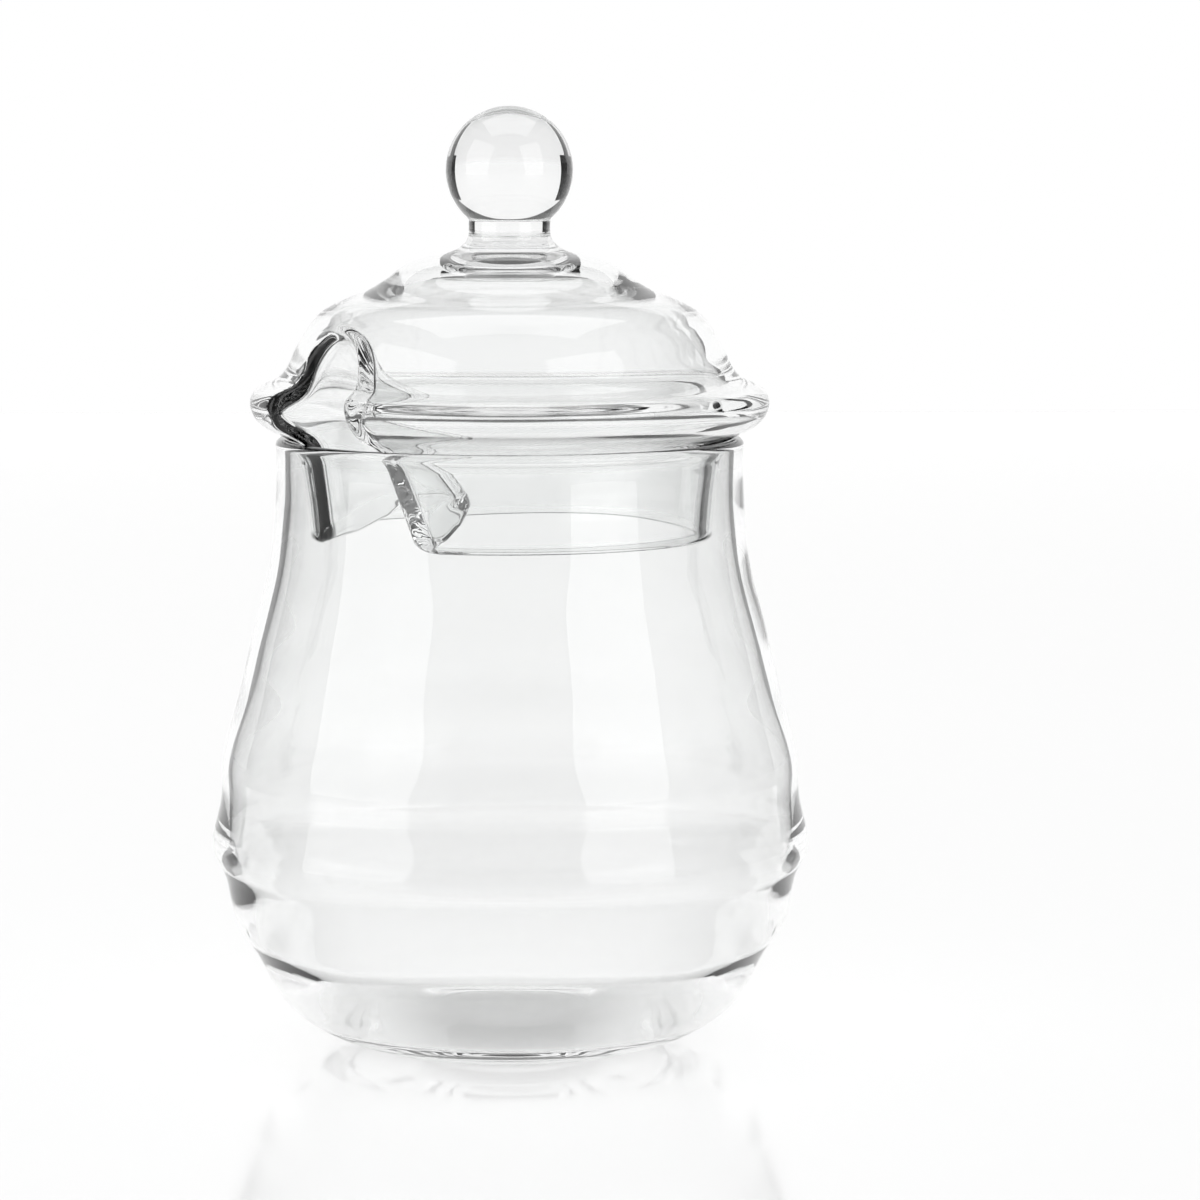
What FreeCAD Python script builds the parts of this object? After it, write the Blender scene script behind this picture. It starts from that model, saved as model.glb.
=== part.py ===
import FreeCAD, Part
import math
import os
import Sketcher

V = FreeCAD.Vector

# A lidded honey pot of clear blown glass: an open jar with a tapered
# shoulder and three beehive rings round its belly, and a hollow domed lid
# with a solid ball knob.  The lid's collar hangs inside the jar's neck, and a
# slanted groove pressed into one side of the lid leaves a gap for the rod of
# a honey dipper.
#
# Frame: origin at the middle of the foot, +Z up, the groove to the front left
# (-X, -Y).  All sizes in millimetres.

doc = FreeCAD.newDocument("honey_pot")
sheet = doc.addObject("Spreadsheet::Sheet", "Sizes")
_row = [0]


def size(alias, value):
    """One named size in the sheet."""
    _row[0] += 1
    sheet.set("A%d" % _row[0], alias)
    sheet.set("B%d" % _row[0], repr(float(value)))
    sheet.setAlias("B%d" % _row[0], alias)
    return alias


def stations(prefix, rows):
    """A run of control stations (name, radius, height) as pairs of sizes."""
    return [(size("%s_%s_rad" % (prefix, n), r), size("%s_%s_high" % (prefix, n), h))
            for n, r, h in rows]


# ---------------------------------------------------------------- the sizes

size("lip_high", 91.65)          # top of the jar's fire-polished rim
size("lip_round", 0.95)          # rounding of the rim, inside and outside
size("kick_rad", 15.0)           # edge of the shallow hollow under the foot
size("kick_top_rad", 9.5)        # its flat roof
size("kick_high", 1.0)
size("floor_high", 3.2)          # inside floor of the jar

size("ball_rad", 9.5)            # solid ball knob
size("ball_high", 131.6)         # its centre
size("stem_rad", 6.1)            # waist between ball and dome
size("stem_high", 122.3)
size("stem_round", 0.8)

size("collar_low", 76.7)         # bottom edge of the lid's collar
size("collar_low_rad", 30.25)
size("collar_top", 88.2)
size("collar_top_rad", 31.25)
size("collar_wall", 1.95)

size("groove_turn", 222.0)       # direction of the groove, from +X, degrees
size("groove_top", 112.0)        # level of the groove's widest sketch
size("groove_rad", 6.0)          # rounding of the groove's bottom
size("groove_at", 32.7)          # groove's bottom, from the axis, at that level
size("groove_lean", 0.705)       # how much it runs inwards for each mm down
size("groove_side", -5.08)       # its middle, sideways, at that level
size("groove_slant", 0.172)      # how much it runs sideways for each mm down
size("groove_flare", 14.0)       # opening of each side wall, degrees
size("groove_run", 40.0)         # height it runs down through
size("groove_wall", 2.1)         # glass left behind the groove
size("groove_wall_deep", 2.5)    # the same, level, at its slanted bottom

size("arch_high", 83.9)          # raised collar edge inside the groove
size("arch_side", 0.42)          # its middle, sideways
size("arch_half", 13.0)          # half its width at the collar's edge
size("arch_crown", 4.6)
size("arch_waist", 8.2)
size("arch_foot", 10.2)

# Outside of the jar, from the foot up: three rings, then the long taper to
# the neck and the small bead under the rim.
JAR_OUT = stations("out", [
    ("foot", 20.50, 0.00), ("toe", 22.81, 0.48), ("heel", 26.11, 1.19),
    ("bowl", 32.42, 4.41), ("ringlow", 36.07, 8.73), ("creaselow", 38.32, 14.63),
    ("ringmid", 42.18, 18.40), ("creasemid", 42.64, 26.80), ("ringtop", 46.12, 29.52),
    ("creasetop", 43.05, 37.14), ("belly", 43.82, 42.84), ("waistlow", 41.73, 49.78),
    ("waist", 40.32, 55.07), ("taperlow", 38.90, 61.35), ("taper", 37.45, 67.13),
    ("tapertop", 35.82, 73.08), ("necklow", 35.34, 79.15), ("neck", 34.92, 85.27),
    ("bead", 34.95, 89.38), ("lip", 35.15, 91.65)])

# Inside of the jar, from the middle of the floor up.  Its creases are deeper
# than the outside ones, as blown rings have.
JAR_IN = stations("inn", [
    ("middle", 0.00, 3.20), ("floora", 1.99, 3.20), ("floorb", 6.60, 3.21),
    ("floorc", 12.85, 3.18), ("floord", 19.47, 3.31), ("heel", 25.62, 3.66),
    ("ringlow", 32.57, 5.97), ("creaselow", 33.43, 13.05), ("ringmid", 40.44, 16.30),
    ("creasemid", 39.04, 23.68), ("ringtop", 44.28, 28.89), ("creasetop", 41.97, 35.45),
    ("belly", 42.47, 41.83), ("waist", 40.54, 48.20), ("taperlow", 38.37, 54.20),
    ("taper", 37.05, 60.55), ("tapertop", 35.24, 66.77), ("necklow", 33.63, 73.03),
    ("neck", 32.98, 79.46), ("neckhigh", 32.94, 85.97), ("rim", 32.86, 90.21),
    ("mouth", 32.90, 92.45)])

# Outside of the lid, from the top of the collar: rolled flange, crease, dome,
# upper step and the foot of the knob.
LID_OUT = stations("top", [
    ("collar", 31.25, 88.20), ("seata", 31.27, 89.25), ("seatb", 32.28, 90.98),
    ("under", 34.86, 92.56), ("flangelow", 37.62, 93.62), ("flange", 39.30, 96.45),
    ("flangehigh", 38.34, 99.34), ("crease", 34.82, 100.11), ("domelow", 33.09, 102.32),
    ("domea", 32.09, 105.20), ("domeb", 30.62, 107.73), ("domec", 28.88, 110.14),
    ("domed", 26.28, 111.65), ("domee", 23.61, 112.80), ("step", 20.77, 113.74),
    ("stepup", 18.35, 115.46), ("shouldera", 16.18, 117.40), ("shoulderb", 13.36, 118.56),
    ("shoulderc", 10.46, 118.99), ("rootlow", 7.58, 119.65), ("root", 6.10, 121.28),
    ("stem", 6.10, 122.30)])

# Hollow of the lid, from the collar up to the middle of the dome.
LID_IN = stations("hol", [
    ("collar", 29.35, 88.60), ("seata", 29.53, 89.79), ("seatb", 30.47, 92.37),
    ("flangelow", 34.04, 93.69), ("flange", 38.35, 96.49), ("crease", 32.61, 98.23),
    ("domelow", 31.54, 101.22), ("domea", 29.60, 104.75), ("domeb", 27.80, 107.92),
    ("domec", 24.98, 110.55), ("step", 21.36, 111.75), ("stepup", 17.88, 113.06),
    ("shouldera", 14.97, 115.60), ("shoulderb", 11.21, 116.38), ("roofa", 7.48, 116.53),
    ("roofb", 3.79, 116.60), ("roofc", 1.12, 116.60), ("roof", 0.00, 116.60)])

doc.recompute()


def num(alias):
    return float(sheet.get(alias))


# ------------------------------------------------------------ sketch helpers

def plane(body, role):
    for item in body.Origin.OriginFeatures:
        if item.Role == role:
            return item
    raise RuntimeError("no plane " + role)


def new_sketch(body, name, role, offset=None):
    sk = body.newObject("Sketcher::SketchObject", name)
    sk.AttachmentSupport = (plane(body, role), [""])
    sk.MapMode = "FlatFace"
    if offset is not None:
        sk.AttachmentOffset = offset
    return sk


def bind(sk, kind, geo, pos, value, text):
    """Distance of a point from the origin along one axis, bound to text."""
    if abs(value) < 1e-9:
        on = -2 if kind == "DistanceX" else -1
        sk.addConstraint(Sketcher.Constraint("PointOnObject", geo, pos, on))
        return
    k = sk.addConstraint(Sketcher.Constraint(kind, -1, 1, geo, pos, value))
    sk.setExpression("Constraints[%d]" % k, text)


def spline(sk, cells):
    """A cubic spline whose control points are bound to pairs of sizes."""
    points = [V(num(a), num(b), 0) for a, b in cells]
    curve = sk.addGeometry(
        Part.BSplineCurve(points, None, None, False, 3, None, False), False)
    marks = []
    for p in points:
        c = sk.addGeometry(Part.Circle(p, V(0, 0, 1), 0.5), True)
        if marks:
            sk.addConstraint(Sketcher.Constraint("Equal", marks[0], c))
        else:
            sk.addConstraint(Sketcher.Constraint("Weight", c, 1.0))
        marks.append(c)
    for i, c in enumerate(marks):
        sk.addConstraint(Sketcher.Constraint(
            "InternalAlignment:Sketcher::BSplineControlPoint", c, 3, curve, i))
    for c, p, (a, b) in zip(marks, points, cells):
        bind(sk, "DistanceX", c, 3, p.x, "Sizes." + a)
        bind(sk, "DistanceY", c, 3, p.y, "Sizes." + b)
    return curve


def line(sk, a, b):
    return sk.addGeometry(Part.LineSegment(V(a[0], a[1], 0), V(b[0], b[1], 0)), False)


def join(sk, g1, p1, g2, p2):
    sk.addConstraint(Sketcher.Constraint("Coincident", g1, p1, g2, p2))


def turned(body, sk, kind, name):
    """A revolution or a turned cut, all the way round the pot's axis."""
    feat = body.newObject("PartDesign::" + kind, name)
    feat.Profile = sk
    feat.ReferenceAxis = (sk, ["V_Axis"])
    feat.Angle = 360.0
    doc.recompute()
    return feat


def level_edges(shape, high, rads=None):
    """Names of the level circular edges at a height, of given radii if any."""
    names = []
    for i, e in enumerate(shape.Edges, 1):
        if e.Degenerated or e.Length < 1.0:
            continue
        pts = e.discretize(9)
        if max(abs(p.z - high) for p in pts) > 0.01:
            continue
        far = [math.hypot(p.x, p.y) for p in pts]
        if max(far) - min(far) > 0.01:
            continue
        if rads is None or min(abs(far[0] - r) for r in rads) < 0.02:
            names.append("Edge%d" % i)
    return names


def must_shrink(before, after, what):
    if not after < before - 1.0:
        raise RuntimeError("%s cut nothing: %.1f -> %.1f" % (what, before, after))


# ------------------------------------------------------------------- the jar

jar = doc.addObject("PartDesign::Body", "jar")
jar.Label = "jar"

# Outside: hollow under the foot, foot ring, rings, taper, rim.
sk = new_sketch(jar, "jar_outside", "XZ_Plane")
wall = spline(sk, JAR_OUT)
lip, foot = num("lip_high"), num("out_foot_rad")
roof = line(sk, (0, num("kick_high")), (num("kick_top_rad"), num("kick_high")))
slope = line(sk, (num("kick_top_rad"), num("kick_high")), (num("kick_rad"), 0))
rest = line(sk, (num("kick_rad"), 0), (foot, 0))
top = line(sk, (num("out_lip_rad"), lip), (0, lip))
axis = line(sk, (0, lip), (0, num("kick_high")))
join(sk, roof, 2, slope, 1)
join(sk, slope, 2, rest, 1)
join(sk, rest, 2, wall, 1)
join(sk, wall, 2, top, 1)
join(sk, top, 2, axis, 1)
join(sk, axis, 2, roof, 1)
sk.addConstraint(Sketcher.Constraint("Horizontal", roof))
sk.addConstraint(Sketcher.Constraint("Horizontal", top))
sk.addConstraint(Sketcher.Constraint("PointOnObject", axis, 1, -2))
sk.addConstraint(Sketcher.Constraint("PointOnObject", axis, 2, -2))
bind(sk, "DistanceX", roof, 2, num("kick_top_rad"), "Sizes.kick_top_rad")
bind(sk, "DistanceY", roof, 2, num("kick_high"), "Sizes.kick_high")
bind(sk, "DistanceX", slope, 2, num("kick_rad"), "Sizes.kick_rad")
sk.addConstraint(Sketcher.Constraint("PointOnObject", slope, 2, -1))
jar_solid = turned(jar, sk, "Revolution", "jar_turned")

# Inside, open at the mouth.
sk = new_sketch(jar, "jar_inside", "XZ_Plane")
wall = spline(sk, JAR_IN)
mouth = num("inn_mouth_high")
top = line(sk, (num("inn_mouth_rad"), mouth), (0, mouth))
axis = line(sk, (0, mouth), (0, num("inn_middle_high")))
join(sk, wall, 2, top, 1)
join(sk, top, 2, axis, 1)
join(sk, axis, 2, wall, 1)
sk.addConstraint(Sketcher.Constraint("Horizontal", top))
sk.addConstraint(Sketcher.Constraint("PointOnObject", axis, 1, -2))
jar_bore = turned(jar, sk, "Groove", "jar_hollow")
must_shrink(jar_solid.Shape.Volume, jar_bore.Shape.Volume, "jar_hollow")

# Fire-polished rim: both corners of the mouth rounded.
corners = level_edges(jar_bore.Shape, lip)
if len(corners) != 2:
    raise RuntimeError("rim corners: %s" % corners)
polish = jar.newObject("PartDesign::Fillet", "jar_rim")
polish.Base = (jar_bore, corners)
polish.Radius = num("lip_round")
polish.setExpression("Radius", "Sizes.lip_round")
doc.recompute()

# ------------------------------------------------------------------- the lid

# The lid is its outside shape, solid, less its hollow; the groove is pressed
# into both, so the glass keeps its thickness behind it.
TURN = num("groove_turn")


def groove_sketch(body, name, grow, grow_deep):
    """Level outline of the groove: a rounded bottom and two flared walls.

    It looks outwards along local +X; grow moves it into the lid by the
    thickness of the glass, for the hollow side."""
    side, a = num("groove_side"), math.radians(TURN)
    place = FreeCAD.Placement(V(-side * math.sin(a), side * math.cos(a), num("groove_top")),
                              FreeCAD.Rotation(V(0, 0, 1), TURN))
    sk = new_sketch(body, name, "XY_Plane", place)
    sk.setExpression("AttachmentOffset.Base.x",
                     "-Sizes.groove_side * sin(Sizes.groove_turn * 1 deg)")
    sk.setExpression("AttachmentOffset.Base.y",
                     "Sizes.groove_side * cos(Sizes.groove_turn * 1 deg)")
    sk.setExpression("AttachmentOffset.Base.z", "Sizes.groove_top")
    sk.setExpression("AttachmentOffset.Rotation.Angle", "Sizes.groove_turn")
    rad_text, at_text = "Sizes.groove_rad", "Sizes.groove_at + Sizes.groove_rad"
    rad, at = num("groove_rad"), num("groove_at") + num("groove_rad")
    if grow:
        rad += num("groove_wall")
        at += num("groove_wall") - num("groove_wall_deep")
        rad_text += " + Sizes.groove_wall"
        at_text += " + Sizes.groove_wall - Sizes.groove_wall_deep"
    flare = math.radians(num("groove_flare"))
    out = 62.0
    tx, ty = at - rad * math.sin(flare), rad * math.cos(flare)
    ox, oy = out, ty + (out - tx) * math.tan(flare)
    bottom = sk.addGeometry(Part.ArcOfCircle(
        Part.Circle(V(at, 0, 0), V(0, 0, 1), rad),
        math.pi / 2 + flare, 3 * math.pi / 2 - flare), False)
    upper = line(sk, (tx, ty), (ox, oy))
    end = line(sk, (ox, oy), (ox, -oy))
    lower = line(sk, (ox, -oy), (tx, -ty))
    sk.addConstraint(Sketcher.Constraint("Tangent", bottom, 1, upper, 1))
    join(sk, upper, 2, end, 1)
    join(sk, end, 2, lower, 1)
    sk.addConstraint(Sketcher.Constraint("Tangent", lower, 2, bottom, 2))
    sk.addConstraint(Sketcher.Constraint("PointOnObject", bottom, 3, -1))
    sk.addConstraint(Sketcher.Constraint("Symmetric", upper, 2, lower, 1, -1))
    k = sk.addConstraint(Sketcher.Constraint("Radius", bottom, rad))
    sk.setExpression("Constraints[%d]" % k, rad_text)
    bind(sk, "DistanceX", bottom, 3, at, at_text)
    k = sk.addConstraint(Sketcher.Constraint("DistanceX", -1, 1, upper, 2, out))
    k = sk.addConstraint(Sketcher.Constraint("Angle", upper, flare))
    sk.setExpression("Constraints[%d]" % k, "Sizes.groove_flare * 1 deg")
    return sk


def press(body, sk, name, base):
    """The groove itself: its outline carried down, inwards and a little sideways."""
    lean, slant, run = num("groove_lean"), num("groove_slant"), num("groove_run")
    a = math.radians(TURN)
    cut = body.newObject("PartDesign::Pocket", name)
    cut.Profile = sk
    cut.UseCustomVector = True
    cut.Direction = V(-lean * math.cos(a) - slant * math.sin(a),
                      -lean * math.sin(a) + slant * math.cos(a), -1.0)
    cut.AlongSketchNormal = True
    cut.Length = run
    cut.setExpression("Length", "Sizes.groove_run")
    cut.Midplane = False
    cut.Reversed = False
    doc.recompute()
    if not cut.Shape.Volume < base - 1.0:
        cut.Reversed = True
        doc.recompute()
    must_shrink(base, cut.Shape.Volume, name)
    return cut


# Outside.
body = doc.addObject("PartDesign::Body", "lid_outside")
sk = new_sketch(body, "lid_profile", "XZ_Plane")
wall = spline(sk, LID_OUT)
low, ball = num("collar_low"), num("ball_high")
meet = ball - math.sqrt(num("ball_rad") ** 2 - num("stem_rad") ** 2)
under = line(sk, (0, low), (num("collar_low_rad"), low))
side = line(sk, (num("collar_low_rad"), low), (num("collar_top_rad"), num("collar_top")))
stem = line(sk, (num("stem_rad"), num("stem_high")), (num("stem_rad"), meet))
knob = sk.addGeometry(Part.ArcOfCircle(
    Part.Circle(V(0, ball, 0), V(0, 0, 1), num("ball_rad")),
    math.atan2(meet - ball, num("stem_rad")), math.pi / 2), False)
axis = line(sk, (0, ball + num("ball_rad")), (0, low))
join(sk, under, 2, side, 1)
join(sk, side, 2, wall, 1)
join(sk, wall, 2, stem, 1)
join(sk, stem, 2, knob, 1)
join(sk, knob, 2, axis, 1)
join(sk, axis, 2, under, 1)
sk.addConstraint(Sketcher.Constraint("Horizontal", under))
sk.addConstraint(Sketcher.Constraint("Vertical", stem))
sk.addConstraint(Sketcher.Constraint("PointOnObject", knob, 3, -2))
sk.addConstraint(Sketcher.Constraint("PointOnObject", axis, 1, -2))
sk.addConstraint(Sketcher.Constraint("PointOnObject", axis, 2, -2))
bind(sk, "DistanceX", under, 2, num("collar_low_rad"), "Sizes.collar_low_rad")
bind(sk, "DistanceY", under, 2, low, "Sizes.collar_low")
bind(sk, "DistanceY", knob, 3, ball, "Sizes.ball_high")
k = sk.addConstraint(Sketcher.Constraint("Radius", knob, num("ball_rad")))
sk.setExpression("Constraints[%d]" % k, "Sizes.ball_rad")
lid_solid = turned(body, sk, "Revolution", "lid_turned")

waist = level_edges(lid_solid.Shape, meet, [num("stem_rad")])
if len(waist) != 1:
    raise RuntimeError("knob waist: %s" % waist)
soft = body.newObject("PartDesign::Fillet", "knob_waist")
soft.Base = (lid_solid, waist)
soft.Radius = num("stem_round")
soft.setExpression("Radius", "Sizes.stem_round")
doc.recompute()

sk = groove_sketch(body, "groove_outline", False, False)
lid_grooved = press(body, sk, "lid_groove", soft.Shape.Volume)

# The collar's edge rises in an arch where the groove crosses it.
place = FreeCAD.Placement(
    V(42.0 * math.cos(math.radians(TURN)), 42.0 * math.sin(math.radians(TURN)), 0),
    FreeCAD.Rotation(V(0, 0, 1), TURN + 90.0) * FreeCAD.Rotation(V(1, 0, 0), 90.0))
sk = new_sketch(body, "arch_outline", "XY_Plane", place)
half, waist_x, foot_x, crown, high = (num("arch_half"), num("arch_waist"),
                                      num("arch_foot"), num("arch_crown"), num("arch_high"))
rows = [(-half, low - 0.5), (-foot_x, low - 0.3), (-waist_x, high - 0.3), (-crown, high),
        (0, high), (crown, high), (waist_x, high - 0.3), (foot_x, low - 0.3), (half, low - 0.5)]
rows = [(x + num("arch_side"), y) for x, y in rows]
half_l, half_r = rows[0][0], rows[-1][0]
arch = sk.addGeometry(Part.BSplineCurve([V(x, y, 0) for x, y in rows],
                                        None, None, False, 3, None, False), False)
drop1 = line(sk, (half_r, low - 0.5), (half_r, low - 3.0))
sill = line(sk, (half_r, low - 3.0), (half_l, low - 3.0))
drop2 = line(sk, (half_l, low - 3.0), (half_l, low - 0.5))
join(sk, arch, 2, drop1, 1)
join(sk, drop1, 2, sill, 1)
join(sk, sill, 2, drop2, 1)
join(sk, drop2, 2, arch, 1)
lift = body.newObject("PartDesign::Pocket", "lid_arch")
lift.Profile = sk
lift.Length = 46.0
doc.recompute()
if not lift.Shape.Volume < lid_grooved.Shape.Volume - 1.0:
    lift.Reversed = True
    doc.recompute()
must_shrink(lid_grooved.Shape.Volume, lift.Shape.Volume, "lid_arch")

# Hollow.
core = doc.addObject("PartDesign::Body", "lid_hollow")
sk = new_sketch(core, "hollow_profile", "XZ_Plane")
wall = spline(sk, LID_IN)
bore_top, bore_rad = num("hol_collar_high"), num("hol_collar_rad")
bore_low = num("collar_low_rad") - num("collar_wall")
below = low - 1.0
floor = line(sk, (0, below), (bore_low, below))
side = line(sk, (bore_low, below), (bore_rad, bore_top))
axis = line(sk, (0, num("hol_roof_high")), (0, below))
join(sk, floor, 2, side, 1)
join(sk, side, 2, wall, 1)
join(sk, wall, 2, axis, 1)
join(sk, axis, 2, floor, 1)
sk.addConstraint(Sketcher.Constraint("Horizontal", floor))
sk.addConstraint(Sketcher.Constraint("PointOnObject", axis, 2, -2))
bind(sk, "DistanceX", floor, 2, bore_low, "Sizes.collar_low_rad - Sizes.collar_wall")
bind(sk, "DistanceY", floor, 2, below, "Sizes.collar_low - 1")
hollow = turned(core, sk, "Revolution", "hollow_turned")
sk = groove_sketch(core, "groove_inner_outline", True, True)
hollow_grooved = press(core, sk, "hollow_groove", hollow.Shape.Volume)

lid = doc.addObject("Part::Cut", "lid")
lid.Label = "lid"
lid.Base = body
lid.Tool = core
doc.recompute()

# ------------------------------------------------------- checks, then export

parts = [jar, lid]
bad = [o.Name for o in doc.Objects
       if any(s in ("Invalid", "Error") for s in o.State)]
if bad:
    raise RuntimeError("failed objects: %s" % bad)
for part in parts:
    s = part.Shape
    if s.isNull() or not s.isValid() or len(s.Solids) != 1:
        raise RuntimeError("bad shape: %s" % part.Label)
    print(part.Label, "volume %.0f mm3" % s.Volume, s.BoundBox)
gap = jar.Shape.distToShape(lid.Shape)[0]
both = jar.Shape.common(lid.Shape).Volume
print("jar to lid: gap %.3f mm, overlap %.3f mm3" % (gap, both))

os.makedirs("parts", exist_ok=True)
for part in parts:
    part.Shape.exportStep("parts/%s.step" % part.Label)
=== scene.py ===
import math

import bpy
import numpy as np
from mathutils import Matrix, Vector


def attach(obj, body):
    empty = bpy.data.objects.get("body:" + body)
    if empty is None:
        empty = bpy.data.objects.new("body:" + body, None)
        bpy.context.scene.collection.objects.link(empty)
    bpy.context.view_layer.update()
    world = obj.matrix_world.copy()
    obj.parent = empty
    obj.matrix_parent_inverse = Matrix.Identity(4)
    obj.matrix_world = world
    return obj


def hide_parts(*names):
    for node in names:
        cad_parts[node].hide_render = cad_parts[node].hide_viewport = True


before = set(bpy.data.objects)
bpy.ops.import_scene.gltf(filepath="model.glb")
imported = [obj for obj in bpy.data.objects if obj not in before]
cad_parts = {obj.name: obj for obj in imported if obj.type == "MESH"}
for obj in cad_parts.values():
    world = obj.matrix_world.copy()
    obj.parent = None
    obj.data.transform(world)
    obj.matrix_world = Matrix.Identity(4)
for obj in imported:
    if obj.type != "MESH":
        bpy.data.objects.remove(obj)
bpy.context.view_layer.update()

# A lidded honey pot of clear blown glass, standing on a pale floor.
# All shape work is in millimetres; MM takes it to metres.
MM = 0.001

# ------------------------------------------------------------------ profiles
# Control stations (radius, height) of the blown walls: the same named
# stations as the solid model, with the softer edges that blown glass has.

JAR_OUT = [(20.50, 0.00), (22.81, 0.48), (26.11, 1.19), (32.42, 4.41), (36.07, 8.73),
           (38.32, 14.63), (42.18, 18.40), (42.64, 26.80), (46.12, 29.52), (43.05, 37.14),
           (43.82, 42.84), (41.73, 49.78), (40.32, 55.07), (38.90, 61.35), (37.45, 67.13),
           (35.82, 73.08), (35.34, 79.15), (34.92, 85.27), (34.95, 89.38), (35.15, 91.65)]
JAR_IN = [(0.00, 3.20), (1.99, 3.20), (6.60, 3.21), (12.85, 3.18), (19.47, 3.31),
          (25.62, 3.66), (32.57, 5.97), (33.43, 13.05), (40.44, 16.30), (39.04, 23.68),
          (44.28, 28.89), (41.97, 35.45), (42.47, 41.83), (40.54, 48.20), (38.37, 54.20),
          (37.05, 60.55), (35.24, 66.77), (33.63, 73.03), (32.98, 79.46), (32.94, 85.97),
          (32.86, 90.21), (32.90, 92.45)]
LID_OUT = [(31.25, 88.20), (31.27, 89.25), (32.28, 90.98), (34.86, 92.56), (37.62, 93.62),
           (39.30, 96.45), (38.34, 99.34), (34.82, 100.11), (33.09, 102.32), (32.09, 105.20),
           (30.62, 107.73), (28.88, 110.14), (26.28, 111.65), (23.61, 112.80), (20.77, 113.74),
           (18.35, 115.46), (16.18, 117.40), (13.36, 118.56), (10.46, 118.99), (7.58, 119.65),
           (6.10, 121.28), (6.10, 122.30)]
LID_IN = [(29.35, 88.60), (29.53, 89.79), (30.47, 92.37), (34.04, 93.69), (38.35, 96.49),
          (32.61, 98.23), (31.54, 101.22), (29.60, 104.75), (27.80, 107.92), (24.98, 110.55),
          (21.36, 111.75), (17.88, 113.06), (14.97, 115.60), (11.21, 116.38), (7.48, 116.53),
          (3.79, 116.60), (1.12, 116.60), (0.00, 116.60)]
KICK = [(0.0, 1.00), (4.0, 1.00), (8.4, 1.00), (10.4, 0.72), (13.2, 0.20), (15.2, 0.0),
        (17.6, 0.0), (20.50, 0.0)]

LIP_HIGH = 91.65
COLLAR_LOW, COLLAR_LOW_RAD = 76.7, 30.25
COLLAR_TOP, COLLAR_TOP_RAD = 88.2, 31.25
COLLAR_WALL = 1.95
BALL_RAD, BALL_HIGH, STEM_RAD = 9.5, 131.6, 6.10
GROOVE_TURN = math.radians(222.0)
GROOVE_TOP, GROOVE_AT, GROOVE_LEAN = 112.0, 32.7, 0.705
GROOVE_SIDE, GROOVE_SLANT = -5.08, 0.172
GROOVE_RAD, GROOVE_FLARE = 6.0, math.radians(14.0)
GROOVE_WALL, GROOVE_WALL_DEEP = 2.1, 2.5


def knotted(poles, n=1500):
    """Points of the clamped uniform cubic spline on these control points."""
    p = np.array(poles, float)
    m = len(p)
    inner = np.linspace(0.0, 1.0, m - 2)
    knots = np.concatenate([np.zeros(3), inner, np.ones(3)])
    t = np.linspace(0.0, 1.0 - 1e-9, n)
    basis = np.zeros((len(knots) - 1, n))
    for i in range(len(knots) - 1):
        basis[i] = (t >= knots[i]) & (t < knots[i + 1])
    for k in range(1, 4):
        nxt = np.zeros((len(knots) - 1 - k, n))
        for i in range(len(knots) - 1 - k):
            a = knots[i + k] - knots[i]
            b = knots[i + k + 1] - knots[i + 1]
            if a > 0:
                nxt[i] += (t - knots[i]) / a * basis[i]
            if b > 0:
                nxt[i] += (knots[i + k + 1] - t) / b * basis[i + 1]
        basis = nxt
    return basis[:m].T @ p


def respaced(line, n=None, step=None, weight=None):
    """The same line with n points spread evenly, or by a density weight."""
    line = np.asarray(line, float)
    seg = np.linalg.norm(np.diff(line, axis=0), axis=1)
    if weight is not None:
        seg = seg * 0.5 * (weight[1:] + weight[:-1])
    s = np.concatenate([[0.0], np.cumsum(seg)])
    if n is None:
        n = max(2, int(round(s[-1] / step)) + 1)
    u = np.linspace(0.0, s[-1], n)
    return np.stack([np.interp(u, s, line[:, k]) for k in range(line.shape[1])], axis=1)


def bend_weight(line, base=1.0, gain=2.2):
    """Density for respacing: more points where the line turns."""
    d = np.gradient(line, axis=0)
    a = np.unwrap(np.arctan2(d[:, 1], d[:, 0]))
    s = np.concatenate([[0.0], np.cumsum(np.linalg.norm(np.diff(line, axis=0), axis=1))])
    turn = np.abs(np.gradient(a, s + np.arange(len(s)) * 1e-9))
    wide = max(3, len(line) // 120)
    ker = np.hanning(2 * wide + 1)
    turn = np.convolve(np.pad(turn, wide, mode="edge"), ker / ker.sum(), mode="valid")
    return base + gain * np.clip(turn, 0.0, 1.2)


def eased(line, size, low, high):
    """The line with its relief softened between two levels (each a fade pair)."""
    step = 0.05
    even = respaced(line, step=step)
    reach = int(4 * size / step)
    x = np.arange(-reach, reach + 1) * step
    ker = np.exp(-0.5 * (x / size) ** 2)
    ker = ker / ker.sum()
    soft = np.stack([np.convolve(np.pad(even[:, k], reach, mode="edge"), ker, mode="valid")
                     for k in range(2)], axis=1)
    z = even[:, 1]
    m = np.clip((z - low[0]) / (low[1] - low[0]), 0, 1) * np.clip((high[1] - z) / (high[1] - high[0]), 0, 1)
    m = (m * m * (3 - 2 * m))[:, None]
    return even * (1 - m) + soft * m


def arc(cx, cz, rad, a0, a1, n):
    t = np.linspace(a0, a1, n)
    return np.stack([cx + rad * np.cos(t), cz + rad * np.sin(t)], axis=1)


def chained(*lines):
    out = [np.asarray(lines[0], float)]
    for ln in lines[1:]:
        ln = np.asarray(ln, float)
        if np.linalg.norm(out[-1][-1] - ln[0]) < 1e-6:
            ln = ln[1:]
        out.append(ln)
    return np.concatenate(out)


# ------------------------------------------------------------ slight waviness
# Hand-worked glass is never quite round: low, broad swells of a few
# hundredths of a millimetre, different inside and outside.

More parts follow.
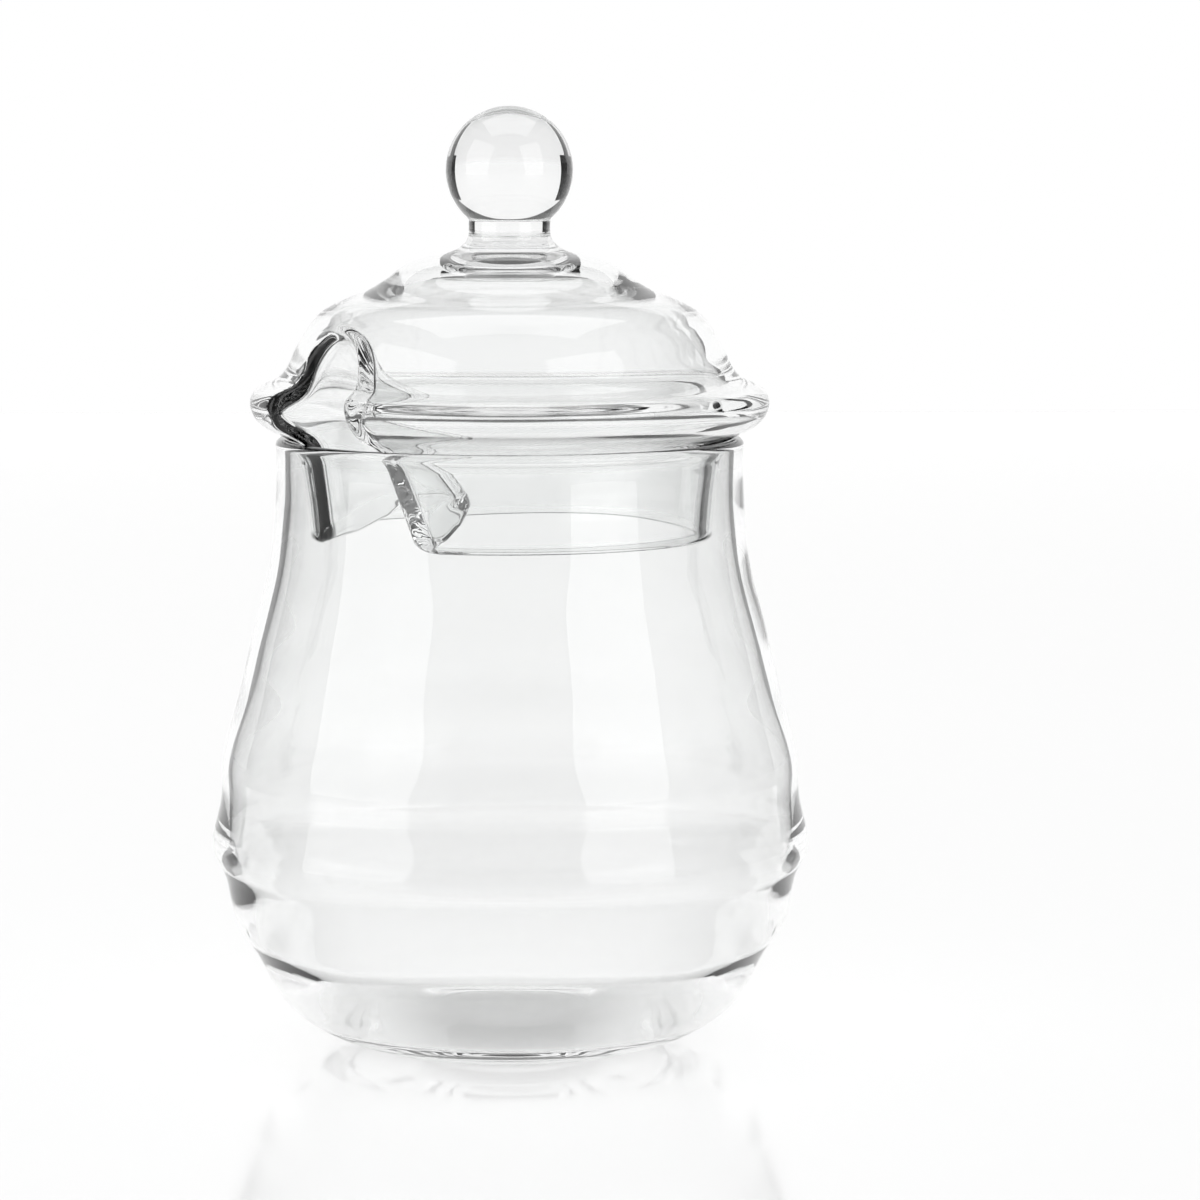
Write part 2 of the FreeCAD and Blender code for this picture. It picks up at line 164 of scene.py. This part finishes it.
def swell(theta, high, seed, size):
    rng = np.random.default_rng(seed)
    out = np.zeros(np.broadcast(theta, high).shape)
    for k, amp in ((2, 1.0), (3, 0.8), (4, 0.45), (5, 0.40), (7, 0.22), (9, 0.14), (12, 0.08)):
        for _ in range(2):
            ph, lean, beat = rng.uniform(0, 2 * math.pi), rng.normal(0, 0.018), rng.uniform(26, 70)
            out = out + amp * np.cos(k * theta + ph + lean * high) * \
                (0.6 + 0.4 * np.cos(high / beat * 2 * math.pi + rng.uniform(0, 2 * math.pi)))
    for beat, amp in ((23.0, 0.5), (13.0, 0.22)):
        out = out + amp * np.cos(high / beat * 2 * math.pi + rng.uniform(0, 2 * math.pi))
    return out * size / 2.6


# -------------------------------------------------------------------- meshes

def grid_object(name, rows, caps):
    """A closed skin over rings of points: rows is (ring, column, xyz) in mm.

    caps holds the first and the last middle point that close the skin."""
    nr, nc, _ = rows.shape
    verts = np.concatenate([rows.reshape(-1, 3), np.array(caps, float)]) * MM
    i, j = np.meshgrid(np.arange(nr - 1), np.arange(nc), indexing="ij")
    k = (j + 1) % nc
    quads = np.stack([i * nc + j, i * nc + k, (i + 1) * nc + k, (i + 1) * nc + j], axis=-1).reshape(-1, 4)
    first, last = nr * nc, nr * nc + 1
    c = np.arange(nc)
    d = (c + 1) % nc
    tris = [np.stack([np.full(nc, first), d, c], axis=1),
            np.stack([np.full(nc, last), (nr - 1) * nc + c, (nr - 1) * nc + d], axis=1)]
    faces = [tuple(int(v) for v in f) for f in quads] + \
            [tuple(int(v) for v in f) for t in tris for f in t]
    mesh = bpy.data.meshes.new(name)
    mesh.from_pydata([tuple(v) for v in verts.tolist()], [], faces)
    mesh.update()
    mesh.polygons.foreach_set("use_smooth", [True] * len(mesh.polygons))
    mesh.validate()
    mesh.update()
    obj = bpy.data.objects.new(name, mesh)
    bpy.context.scene.collection.objects.link(obj)
    return obj


def make_jar():
    outer = knotted(JAR_OUT)
    inner = eased(knotted(JAR_IN), 2.4, (4.0, 6.0), (34.0, 42.0))
    # the hollow follows the rings: the wall changes slowly from level to level
    z = np.linspace(4.0, 60.0, 1121)
    wall = np.interp(z, outer[:, 1], outer[:, 0]) - np.interp(z, inner[:, 1], inner[:, 0])
    x = np.arange(-240, 241) * 0.05
    ker = np.exp(-0.5 * (x / 4.0) ** 2)
    slow = np.convolve(np.pad(wall, 240, mode="edge"), ker / ker.sum(), mode="valid")
    part = np.clip((z - 5.0) / 2.5, 0, 1) * np.clip((50.0 - z) / 10.0, 0, 1)
    inner[:, 0] += np.interp(inner[:, 1], z, 0.65 * part * (wall - slow), left=0.0, right=0.0)
    under = knotted(KICK)
    # Fire-polished rim: the walls run up to a full round.
    half = 0.5 * (35.13 - 32.90)
    level = LIP_HIGH - half
    out_low = outer[outer[:, 1] < level - 0.15]
    in_low = inner[inner[:, 1] < level - 0.15]
    rim = arc(0.5 * (35.13 + 32.90), level, half, 0.0, math.pi, 60)
    wall = chained(out_low, rim, in_low[::-1])
    under = respaced(under, n=400)[1:]
    outline = chained(under, wall)
    outline = respaced(outline, n=4200)
    w = bend_weight(outline, base=0.75, gain=1.6)
    w = w + 1.2 * (outline[:, 1] > LIP_HIGH - 2.2)
    w = w * np.where(outline[:, 0] < 18.0, 0.55, 1.0)
    line = respaced(outline, n=266, weight=w)
    nc = 340
    theta = np.arange(nc) * 2 * math.pi / nc
    th, r = np.meshgrid(theta, line[:, 0])
    z = np.repeat(line[:, 1:2], nc, axis=1)
    # inside or outside, by which wall the row lies on
    split = int(np.argmax(line[:, 1]))
    side = np.zeros(len(line))
    side[split:] = 1.0
    blend = np.clip((np.arange(len(line)) - split) / 10.0 + 0.5, 0, 1)[:, None]
    fade = np.clip(r / 16.0, 0, 1) ** 2 * np.clip(z / 4.0, 0, 1)
    fade = fade * (1.0 - 0.75 * np.clip((z - (LIP_HIGH - 10.0)) / 8.0, 0, 1))
    wave = swell(th, z, 11, 0.10) * (1 - blend) + swell(th, z, 23, 0.14) * blend
    r = r + wave * fade
    pts = np.stack([r * np.cos(th), r * np.sin(th), z], axis=-1)
    return grid_object("honey_pot_jar", pts[1:-1], [(0, 0, line[0, 1]), (0, 0, line[-1, 1])])


# ---- the lid

def arch(off):
    """How far the collar's edge is raised, by its distance from the groove's middle."""
    x = np.abs(off)
    at = [0.0, 3.0, 5.0, 6.2, 7.1, 7.9, 8.9, 10.1, 11.3, 12.6]
    up = [7.2, 7.2, 7.1, 6.8, 6.2, 5.1, 2.9, 1.0, 0.2, 0.0]
    return np.interp(x, at, up)


def middle(z):
    """Sideways place of the groove's middle at a level: it leans a little."""
    return GROOVE_SIDE + GROOVE_SLANT * (GROOVE_TOP - z)


def notch(z, grow, grow_deep):
    """Middle distance and rounding of the groove's bottom at a level."""
    at = GROOVE_AT + GROOVE_RAD - GROOVE_LEAN * (GROOVE_TOP - z)
    rad = GROOVE_RAD
    if grow:
        rad = rad + grow
        at = at + grow - grow_deep
    return at, rad


def soft_max(a, b, k):
    m = max(a, b)
    return m + math.log(math.exp((a - m) * k) + math.exp((b - m) * k)) / k


def section(radius, z, grow, grow_deep, n_in, n_out, soft):
    """One level ring of the lid: a circle with the groove pressed in.

    Local frame: +u looks outwards along the groove.  Returns (u, v) points:
    n_in of them over the groove, n_out over the rest of the ring."""
    at, rad = notch(z, grow, grow_deep)
    off = middle(z)
    flare = GROOVE_FLARE
    tx, ty = at - rad * math.sin(flare), rad * math.cos(flare)
    home, home_half = math.radians(-8.5), math.radians(9.0)
    halves, corners = [], []
    hit = math.hypot(at - rad, off) < radius - 1e-6
    for sign in (-1.0, 1.0):
        if hit:
            s = np.linspace(0.0, 90.0, 4001)
            ang = s / rad
            lim = math.pi / 2 - flare
            on_arc = ang <= lim
            u = np.where(on_arc, at - rad * np.cos(np.minimum(ang, lim)),
                         tx + (s - lim * rad) * math.cos(flare))
            v = off + sign * np.where(on_arc, rad * np.sin(np.minimum(ang, lim)),
                                      ty + (s - lim * rad) * math.sin(flare))
            cut = max(1, int(np.argmax(np.hypot(u, v) >= radius)))
            wall = np.stack([u[:cut], v[:cut]], axis=1)
            corner = sign * math.atan2(v[cut], u[cut])
        else:
            wall = np.zeros((0, 2))
            corner = sign * home
        pad = math.radians(6.0)
        end = soft_max(sign * home + home_half, corner + pad, 30.0)
        t = sign * np.linspace(corner, end, 240)
        bit = np.stack([radius * np.cos(t), radius * np.sin(t)], axis=1)
        halves.append(np.concatenate([wall, bit]))
        corners.append((corner, end))
    left, right = halves
    whole = np.concatenate([left[::-1], right[1:]])
    start, stop = corners[1][1], 2 * math.pi - corners[0][1]
    t = np.linspace(start, stop, 900)[1:-1]
    rest = np.stack([radius * np.cos(t), radius * np.sin(t)], axis=1)
    if soft > 0 and hit:
        # soften the fold: blur along the ring, only near the groove
        ring = np.concatenate([whole, rest])
        closed = np.concatenate([ring, ring[:1]])
        seg = np.linalg.norm(np.diff(closed, axis=0), axis=1)
        s = np.concatenate([[0.0], np.cumsum(seg)])
        n = int(s[-1] / 0.06)
        uu = np.linspace(0.0, s[-1], n, endpoint=False)
        even = np.stack([np.interp(uu, s, closed[:, k]) for k in range(2)], axis=1)
        freq = np.fft.rfftfreq(n, d=s[-1] / n)
        gauss = np.exp(-2.0 * (math.pi * soft * freq) ** 2)
        smooth = np.stack([np.fft.irfft(np.fft.rfft(even[:, k]) * gauss, n) for k in range(2)], axis=1)
        a = np.arctan2(even[:, 1], even[:, 0])
        away = np.maximum(a - corners[1][0], -a - corners[0][0])
        keep = np.clip((away - math.radians(7.0)) / math.radians(5.0), 0, 1)
        keep = keep * keep * (3 - 2 * keep)
        smooth = smooth * (1 - keep)[:, None] + even * keep[:, None]
        length = s[len(whole) - 1]
        sm = np.concatenate([smooth, smooth[:1]])
        su = np.concatenate([uu, [s[-1]]])
        q = np.concatenate([np.linspace(0.0, length, n_in, endpoint=False),
                            length + (s[-1] - length) * np.linspace(0.0, 1.0, n_out, endpoint=False)])
        return np.stack([np.interp(q, su, sm[:, k]) for k in range(2)], axis=1)
    seg = np.linalg.norm(np.diff(whole, axis=0), axis=1)
    s = np.concatenate([[0.0], np.cumsum(seg)])
    q = np.linspace(0.0, s[-1], n_in, endpoint=False)
    a = np.stack([np.interp(q, s, whole[:, k]) for k in range(2)], axis=1)
    t = start + (stop - start) * np.linspace(0.0, 1.0, n_out, endpoint=False)
    b = np.stack([radius * np.cos(t), radius * np.sin(t)], axis=1)
    return np.concatenate([a, b])


def turned_out(uv, z):
    """Local groove frame to the pot's frame."""
    c, s = math.cos(GROOVE_TURN), math.sin(GROOVE_TURN)
    return np.stack([uv[..., 0] * c - uv[..., 1] * s, uv[..., 0] * s + uv[..., 1] * c,
                     np.broadcast_to(z, uv[..., 0].shape)], axis=-1)


def lid_rings(line, grow, grow_deep, n_in, n_out, soft):
    """Rings of the lid along a profile; the collar's rings ride up the arch."""
    rings = []
    for r, z in line:
        uv = section(r, z, grow, grow_deep, n_in, n_out, soft)
        if z < COLLAR_TOP:
            # lift each column with the arch, then take its place at that level
            part = (COLLAR_TOP - z) / (COLLAR_TOP - COLLAR_LOW)
            side = np.clip(uv[:, 0] / 4.0, 0, 1)
            lift = arch(uv[:, 1] - middle(z)) * side
            zz = z + lift * part
            lo, hi = float(zz.min()), float(zz.max())
            if hi - lo > 1e-4:
                levels = np.linspace(lo, hi, 9)
                slope = (COLLAR_TOP_RAD - COLLAR_LOW_RAD) / (COLLAR_TOP - COLLAR_LOW)
                stack = np.stack([section(r + slope * (lv - z), lv, grow, grow_deep, n_in, n_out, soft)
                                  for lv in levels])
                f = np.clip((zz - lo) / (hi - lo) * 8.0, 0, 8 - 1e-9)
                a = f.astype(int)
                w = (f - a)[:, None]
                cols = np.arange(len(zz))
                uv = stack[a, cols] * (1 - w) + stack[a + 1, cols] * w
            pts = turned_out(uv, zz)
        else:
            pts = turned_out(uv, z)
        rings.append(pts)
    return np.stack(rings)


def make_lid():
    n_in, n_out = 150, 210
    out = knotted(LID_OUT)
    hollow = knotted(LID_IN)
    # outside, from the collar's edge to the top of the ball
    collar = np.array([(COLLAR_LOW_RAD, COLLAR_LOW + 0.9), (COLLAR_TOP_RAD, COLLAR_TOP)])
    meet = BALL_HIGH - math.sqrt(BALL_RAD ** 2 - STEM_RAD ** 2)
    ball = arc(0.0, BALL_HIGH, BALL_RAD, math.atan2(meet - BALL_HIGH, STEM_RAD), math.pi / 2, 400)
    knob = chained(out, ball)
    knob = respaced(knob, n=3000)
    # soften the waist under the ball
    near = np.exp(-((knob[:, 1] - meet) / 1.6) ** 2)
    soft = knob.copy()
    for _ in range(60):
        soft[1:-1] += 0.5 * (0.5 * (soft[:-2] + soft[2:]) - soft[1:-1])
    knob = knob * (1 - near)[:, None] + soft * near[:, None]
    up = respaced(collar, n=16)
    body = respaced(knob, n=124, weight=bend_weight(knob, base=0.62, gain=1.5))
    outer_line = chained(up, body)[:-1]
    # hollow, from the collar's edge to the middle of the roof
    wall = COLLAR_WALL
    inner_collar = np.array([(COLLAR_LOW_RAD - wall, COLLAR_LOW + 0.9), (COLLAR_TOP_RAD - wall, COLLAR_TOP)])
    inner_up = respaced(inner_collar, n=14)
    roof = respaced(hollow, n=76, weight=bend_weight(hollow, base=0.7, gain=1.2))
    inner_line = chained(inner_up, [(29.32, 88.4)], roof)[:-1]
    skin = lid_rings(outer_line, 0.0, 0.0, n_in, n_out, 1.1)
    lining = lid_rings(inner_line, GROOVE_WALL, GROOVE_WALL_DEEP, n_in, n_out, 0.8)
    # rounded edge round the bottom of the collar and the raised tongue
    a, b = skin[0], lining[0]
    mid, arm = 0.5 * (a + b), 0.5 * (a - b)
    reach = np.minimum(np.linalg.norm(arm, axis=1), 1.0)[:, None]
    edge = []
    for t in np.linspace(0, math.pi, 9)[1:-1]:
        p = mid + arm * math.cos(t)
        p = p - np.array([0, 0, 1.0]) * reach * math.sin(t) * 0.9
        edge.append(p)
    edge = np.stack(edge)
    rows = np.concatenate([lining[::-1], edge[::-1], skin])
    # slight swells
    count = len(lining)
    th = np.arctan2(rows[..., 1], rows[..., 0])
    zz = rows[..., 2]
    rr = np.hypot(rows[..., 0], rows[..., 1])
    blend = np.clip((np.arange(len(rows)) - count) / 8.0, 0, 1)[:, None]
    wave = swell(th, zz, 37, 0.11) * (1 - blend) + swell(th, zz, 41, 0.07) * blend
    fade = np.clip(rr / 14.0, 0, 1) ** 2 * np.clip((zz - 92.5) / 6.0, 0.12, 1)
    scale = 1.0 + wave * fade / np.maximum(rr, 6.0)
    rows = rows * np.stack([scale, scale, np.ones_like(scale)], axis=-1)
    return grid_object("honey_pot_lid", rows,
                       [(0, 0, inner_line[-1][1]), (0, 0, BALL_HIGH + BALL_RAD)])


# ----------------------------------------------------------------- materials

def node(tree, kind, x, y, **values):
    n = tree.nodes.new(kind)
    n.location = (x, y)
    for k, v in values.items():
        if k in n.inputs:
            n.inputs[k].default_value = v
        else:
            setattr(n, k, v)
    return n


def glass(name, seed, wave_scale):
    """Clear borosilicate: a breath of tint, fine polish haze and flow waves."""
    m = bpy.data.materials.new(name)
    m.use_nodes = True
    t = m.node_tree
    t.nodes.clear()
    out = node(t, "ShaderNodeOutputMaterial", 700, 0)
    bsdf = node(t, "ShaderNodeBsdfPrincipled", 400, 0)
    bsdf.inputs["Transmission Weight"].default_value = 1.0
    bsdf.inputs["IOR"].default_value = 1.47
    bsdf.inputs["Metallic"].default_value = 0.0
    co = node(t, "ShaderNodeTexCoord", -900, 0)
    place = node(t, "ShaderNodeMapping", -700, 0)
    place.inputs["Location"].default_value = (seed, seed * 0.7, seed * 1.3)
    t.links.new(co.outputs["Object"], place.inputs["Vector"])
    haze = node(t, "ShaderNodeTexNoise", -450, 150)
    haze.inputs["Scale"].default_value = 60.0
    haze.inputs["Detail"].default_value = 3.0
    t.links.new(place.outputs["Vector"], haze.inputs["Vector"])
    rough = node(t, "ShaderNodeMapRange", -200, 150)
    rough.inputs["From Min"].default_value = 0.3
    rough.inputs["From Max"].default_value = 0.75
    rough.inputs["To Min"].default_value = 0.0
    rough.inputs["To Max"].default_value = 0.012
    t.links.new(haze.outputs["Fac"], rough.inputs["Value"])
    t.links.new(rough.outputs["Result"], bsdf.inputs["Roughness"])
    tint = node(t, "ShaderNodeTexNoise", -450, -80)
    tint.inputs["Scale"].default_value = 9.0
    t.links.new(place.outputs["Vector"], tint.inputs["Vector"])
    ramp = node(t, "ShaderNodeValToRGB", -200, -80)
    ramp.color_ramp.elements[0].position = 0.3
    ramp.color_ramp.elements[0].color = (0.976, 0.981, 0.979, 1)
    ramp.color_ramp.elements[1].position = 0.7
    ramp.color_ramp.elements[1].color = (0.986, 0.989, 0.988, 1)
    t.links.new(tint.outputs["Fac"], ramp.inputs["Fac"])
    t.links.new(ramp.outputs["Color"], bsdf.inputs["Base Color"])
    flow = node(t, "ShaderNodeTexNoise", -450, -330)
    flow.inputs["Scale"].default_value = wave_scale
    flow.inputs["Detail"].default_value = 1.0
    t.links.new(place.outputs["Vector"], flow.inputs["Vector"])
    bump = node(t, "ShaderNodeBump", -150, -330)
    bump.inputs["Strength"].default_value = 0.05
    bump.inputs["Distance"].default_value = 0.0006
    t.links.new(flow.outputs["Fac"], bump.inputs["Height"])
    t.links.new(bump.outputs["Normal"], bsdf.inputs["Normal"])
    t.links.new(bsdf.outputs["BSDF"], out.inputs["Surface"])
    return m


jar = make_jar()
lid = make_lid()
jar.data.materials.append(glass("jar_glass_clear", 3.1, 34.0))
lid.data.materials.append(glass("lid_glass_clear", 7.7, 40.0))
for piece, name, where in ((jar, "jar", "jar_glass"), (lid, "lid", "lid_glass")):
    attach(piece, "root")
    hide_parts(name)
    piece.visible_shadow = False    # clear glass: no hard black shadow on the floor

# --------------------------------------------------------------------- stage


def plain(name, colour, rough, glow=0.0):
    m = bpy.data.materials.new(name)
    m.use_nodes = True
    b = m.node_tree.nodes["Principled BSDF"]
    b.inputs["Base Color"].default_value = (*colour, 1)
    b.inputs["Roughness"].default_value = rough
    if glow:
        b.inputs["Emission Color"].default_value = (1, 1, 1, 1)
        b.inputs["Emission Strength"].default_value = glow
    return m


def dark(name, corners):
    """A black panel that only rays through the glass see."""
    mesh = bpy.data.meshes.new(name)
    mesh.from_pydata(corners, [], [tuple(range(len(corners)))])
    obj = bpy.data.objects.new(name, mesh)
    bpy.context.scene.collection.objects.link(obj)
    mesh.materials.append(lamp(name, 0.0))
    obj.visible_camera = obj.visible_glossy = obj.visible_diffuse = obj.visible_shadow = False
    return obj


def lamp(name, glow):
    m = bpy.data.materials.new(name)
    m.use_nodes = True
    t = m.node_tree
    t.nodes.clear()
    o = t.nodes.new("ShaderNodeOutputMaterial")
    e = t.nodes.new("ShaderNodeEmission")
    e.inputs["Strength"].default_value = glow
    t.links.new(e.outputs["Emission"], o.inputs["Surface"])
    return m


def card(name, centre, wide, high, glow, seen_by=("camera",)):
    """A flat upright panel that faces the pot: a lit one, or a black flag."""
    mesh = bpy.data.meshes.new(name)
    w, h = wide / 2, high / 2
    mesh.from_pydata([(-w, -h, 0), (w, -h, 0), (w, h, 0), (-w, h, 0)], [], [(0, 1, 2, 3)])
    obj = bpy.data.objects.new(name, mesh)
    bpy.context.scene.collection.objects.link(obj)
    obj.location = centre
    look = Vector((0, 0, centre[2])) - Vector(centre)
    obj.rotation_mode = "QUATERNION"
    obj.rotation_quaternion = look.to_track_quat("Z", "Y")
    mesh.materials.append(lamp(name, glow))
    obj.visible_camera = "camera" in seen_by
    obj.visible_glossy = "glossy" in seen_by
    obj.visible_diffuse = "diffuse" in seen_by
    obj.visible_transmission = "transmission" in seen_by
    obj.visible_shadow = False
    return obj


def upright(name, left, right, back=0.080, high=0.150):
    """A black flag standing just behind and beside the pot."""
    return dark(name, [(left, back, 0.001), (right, back, 0.001), (right, back, high), (left, back, high)])


def softbox(name, centre, wide, high, radiance, aim=(0, 0, 0.08), seen_by=("glossy", "diffuse")):
    light = bpy.data.lights.new(name, "AREA")
    light.shape = "RECTANGLE"
    light.size, light.size_y = wide, high
    light.energy = radiance * math.pi * wide * high
    obj = bpy.data.objects.new(name, light)
    bpy.context.scene.collection.objects.link(obj)
    obj.location = centre
    look = Vector(aim) - Vector(centre)
    obj.rotation_mode = "QUATERNION"
    obj.rotation_quaternion = look.to_track_quat("-Z", "Y")
    obj.visible_camera = False
    obj.visible_glossy = "glossy" in seen_by
    obj.visible_transmission = "transmission" in seen_by
    return obj


FLOOR_GLOW = 0.14
WORLD_DIM = 0.25
WORLD_THROUGH = 0.14
floor_mesh = bpy.data.meshes.new("floor")
half = 4.0
floor_mesh.from_pydata([(-half, -half, 0), (half, -half, 0), (half, half, 0), (-half, half, 0)],
                       [], [(0, 1, 2, 3)])
floor = bpy.data.objects.new("floor", floor_mesh)
bpy.context.scene.collection.objects.link(floor)
floor_mesh.materials.append(plain("pale_floor", (0.86, 0.86, 0.86), 0.10, FLOOR_GLOW))
# painted contact shadow: the floor's colour and glow are darkened right under the pot's foot, where the
# glass casts no shadow
t = floor_mesh.materials[0].node_tree
b = t.nodes["Principled BSDF"]
co = node(t, "ShaderNodeTexCoord", -900, 0)
far = node(t, "ShaderNodeVectorMath", -700, 0, operation="LENGTH")
reach = node(t, "ShaderNodeMapRange", -600, 0)
reach.inputs["From Max"].default_value = 0.060
# ramp of the painted contact shadow: 0.30 under the foot, back to full at 60 mm from its middle
painted_shadow_ramp = node(t, "ShaderNodeValToRGB", -450, 0)
painted_shadow_ramp.color_ramp.interpolation = "B_SPLINE"
for at, level in ((0.0, 0.30), (0.20, 0.32), (0.30, 0.60), (0.45, 0.84), (0.70, 0.96), (1.0, 1.0)):
    spot = painted_shadow_ramp.color_ramp.elements[0] if at == 0.0 else \
        painted_shadow_ramp.color_ramp.elements[-1] if at == 1.0 else painted_shadow_ramp.color_ramp.elements.new(at)
    spot.color = (level, level, level, 1)
# the painted shadow darkens both the floor's colour and its glow
painted_shadow_colour = node(t, "ShaderNodeMath", -300, 60, operation="MULTIPLY")
painted_shadow_colour.inputs[1].default_value = 0.86
glow = node(t, "ShaderNodeMath", -300, -100, operation="MULTIPLY")
glow.inputs[1].default_value = FLOOR_GLOW
t.links.new(co.outputs["Object"], far.inputs[0])
t.links.new(far.outputs["Value"], reach.inputs["Value"])
t.links.new(reach.outputs["Result"], painted_shadow_ramp.inputs["Fac"])
t.links.new(painted_shadow_ramp.outputs["Color"], painted_shadow_colour.inputs[0])
t.links.new(painted_shadow_ramp.outputs["Color"], glow.inputs[0])
t.links.new(painted_shadow_colour.outputs["Value"], b.inputs["Base Color"])
t.links.new(glow.outputs["Value"], b.inputs["Emission Strength"])

# Camera: a long lens, three quarters of a metre away, looking slightly down.
cam_data = bpy.data.cameras.new("camera")
cam = bpy.data.objects.new("camera", cam_data)
bpy.context.scene.collection.objects.link(cam)
cam_data.sensor_width = 36.0
cam_data.lens = 150.3
cam_data.clip_start, cam_data.clip_end = 0.01, 50.0
cam.location = (0.0, -0.750, 0.1503)
cam.rotation_euler = (math.radians(90.0 - 6.338), 0.0, math.radians(-1.033))
bpy.context.scene.camera = cam

# The lights stand on a turntable's studio side: they always face the pot from
# the same side as the camera does.
rig = bpy.data.objects.new("light_rig", None)
bpy.context.scene.collection.objects.link(rig)
turn = rig.constraints.new("LOCKED_TRACK")
turn.target = cam
turn.track_axis = "TRACK_NEGATIVE_Y"
turn.lock_axis = "LOCK_Z"


def around(deg, dist, high):
    """A place round the pot: 0 is behind it, seen from the camera, + is right."""
    a = math.radians(deg)
    return (dist * math.sin(a), dist * math.cos(a), high)


panels = [
    card("backdrop", around(0, 1.3, 0.55), 3.2, 1.1, 1.0, ("camera", "glossy", "diffuse", "transmission")),
    # black flags at both sides, seen only through the glass: they draw its edges
    card("flag_left", around(-60, 0.6, 0.15), 0.43, 0.5, 0.0, ("transmission",)),
    card("flag_right", around(62, 0.6, 0.15), 0.38, 0.5, 0.0, ("transmission",)),
    upright("flag_near_left", -0.138, -0.083),
    upright("flag_near_right", 0.083, 0.138),
    softbox("softbox_right", around(180 - 46, 0.9, 0.42), 0.66, 0.95, 1.7),
    softbox("softbox_left", around(180 + 62, 0.9, 0.42), 0.84, 0.95, 1.6),
    softbox("softbox_top", (0, 0.1, 1.3), 1.3, 1.1, 1.5),
]
for p in panels:
    p.parent = rig

world = bpy.data.worlds.new("studio")
bpy.context.scene.world = world
world.use_nodes = True
t = world.node_tree
t.nodes.clear()
wo = t.nodes.new("ShaderNodeOutputWorld")
lp = t.nodes.new("ShaderNodeLightPath")
# white straight behind, a shade less through the glass, dim for all the rest
level = t.nodes.new("ShaderNodeMix")
level.data_type = "FLOAT"
level.inputs["A"].default_value = WORLD_DIM
level.inputs["B"].default_value = WORLD_THROUGH
behind = t.nodes.new("ShaderNodeMix")
behind.data_type = "FLOAT"
behind.inputs["B"].default_value = 1.0
sky = t.nodes.new("ShaderNodeBackground")
sky.inputs["Color"].default_value = (1, 1, 1, 1)
t.links.new(lp.outputs["Is Transmission Ray"], level.inputs["Factor"])
t.links.new(lp.outputs["Is Camera Ray"], behind.inputs["Factor"])
t.links.new(level.outputs["Result"], behind.inputs["A"])
t.links.new(behind.outputs["Result"], sky.inputs["Strength"])
t.links.new(sky.outputs["Background"], wo.inputs["Surface"])

bpy.context.scene.view_settings.view_transform = "Standard"
light_paths = bpy.context.scene.cycles
light_paths.max_bounces = 20
light_paths.glossy_bounces = 16
light_paths.transmission_bounces = 20
light_paths.diffuse_bounces = 1
light_paths.use_adaptive_sampling = True
light_paths.adaptive_threshold = 0.05
